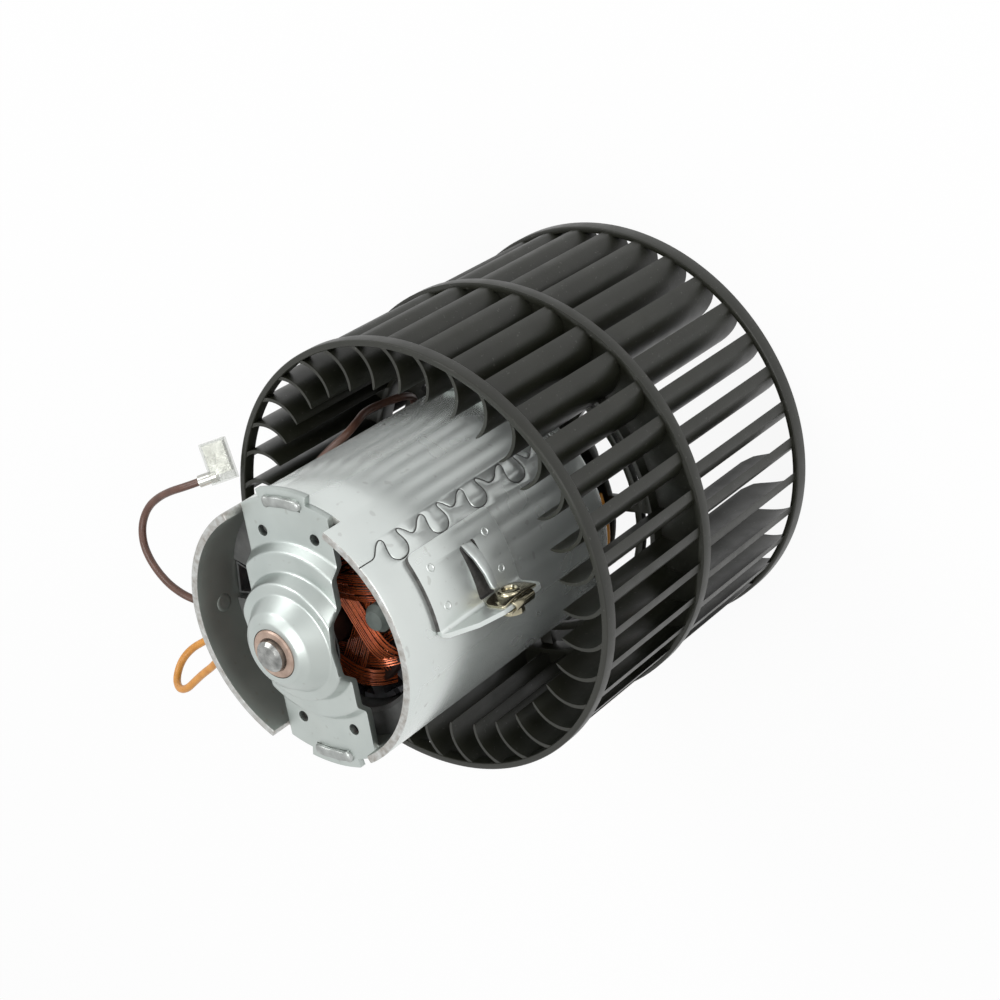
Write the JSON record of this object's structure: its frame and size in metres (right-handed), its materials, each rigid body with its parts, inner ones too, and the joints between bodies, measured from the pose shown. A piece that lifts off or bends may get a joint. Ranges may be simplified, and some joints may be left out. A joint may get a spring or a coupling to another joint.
{
  "type": "blower motor",
  "caption": "Direct-current motor in a rolled steel can that turns a double-inlet squirrel-cage blower wheel, with two welded mounting brackets and two short flying leads.",
  "frame": {"origin": "on the shaft's axis, in the plane of the wheel's far rim, on which the part stands", "axes": "+Z along the shaft from the wheel's far rim to the motor's rear bridge; X along the bearing bridges; Y across them"},
  "size_m": [0.15, 0.1838, 0.1869],
  "materials": {
    "zinc": "zinc-plated sheet, satin",
    "bronze": "sintered bronze, oiled",
    "spring_steel": "satin",
    "felt": "oiled felt",
    "ferrite": "ceramic magnet, matt",
    "passivated_steel": "yellow passivated",
    "board": "phenolic board",
    "brass": "stamped brass",
    "carbon": "copper-graphite, matt",
    "copper": "enamelled copper wire",
    "brown_insulation": "brown lead insulation",
    "orange_insulation": "orange lead insulation",
    "tinned_brass": "tinned",
    "clear_nylon": "clear",
    "black_plastic": "fine-textured black",
    "shaft_steel": "ground",
    "core_steel": "laminated",
    "putty": "cured grey putty"
  },
  "bodies": {
    "motor": {"motor_can": "zinc", "rear_bridge": "zinc", "front_bridge": "zinc", "rear_bearing": "bronze", "front_bearing": "bronze", "rear_retainer": "spring_steel", "front_retainer": "spring_steel", "rear_felt": "felt", "front_felt": "felt", "magnet_a": "ferrite", "magnet_b": "ferrite", "magnet_clip_a": "spring_steel", "magnet_clip_b": "spring_steel", "bracket_a": "zinc", "bracket_b": "zinc", "clip_nut_a": "passivated_steel", "clip_nut_b": "passivated_steel", "brush_plate": "board", "brush_box_a": "brass", "brush_box_b": "brass", "brush_a": "carbon", "brush_b": "carbon", "brush_spring_a": "spring_steel", "brush_spring_b": "spring_steel", "brush_braid_a": "copper", "brush_braid_b": "copper", "choke_winding_a": "copper", "choke_winding_b": "copper", "choke_core_a": "ferrite", "choke_core_b": "ferrite", "brown_lead": "brown_insulation", "orange_lead": "orange_insulation", "brown_terminal": "tinned_brass", "orange_terminal": "tinned_brass", "brown_sleeve": "clear_nylon", "orange_sleeve": "clear_nylon"},
    "rotor": {"wheel_web": "black_plastic", "near_rim": "black_plastic", "far_rim": "black_plastic", "near_blades": "black_plastic", "far_blades": "black_plastic", "fan_clip": "spring_steel", "motor_shaft": "shaft_steel", "armature_core": "core_steel", "armature_winding": "copper", "rear_insulator": "board", "front_insulator": "board", "commutator": "copper", "commutator_sleeve": "board", "rear_washer": "board", "front_washer": "board", "balance_putty": "putty"}
  },
  "joints": [
    {"name": "rotor", "type": "hinge", "parent": "motor", "child": "rotor", "pos_m": [0, 0, 0], "axis": [0, 0, 1], "continuous": true}
  ]
}
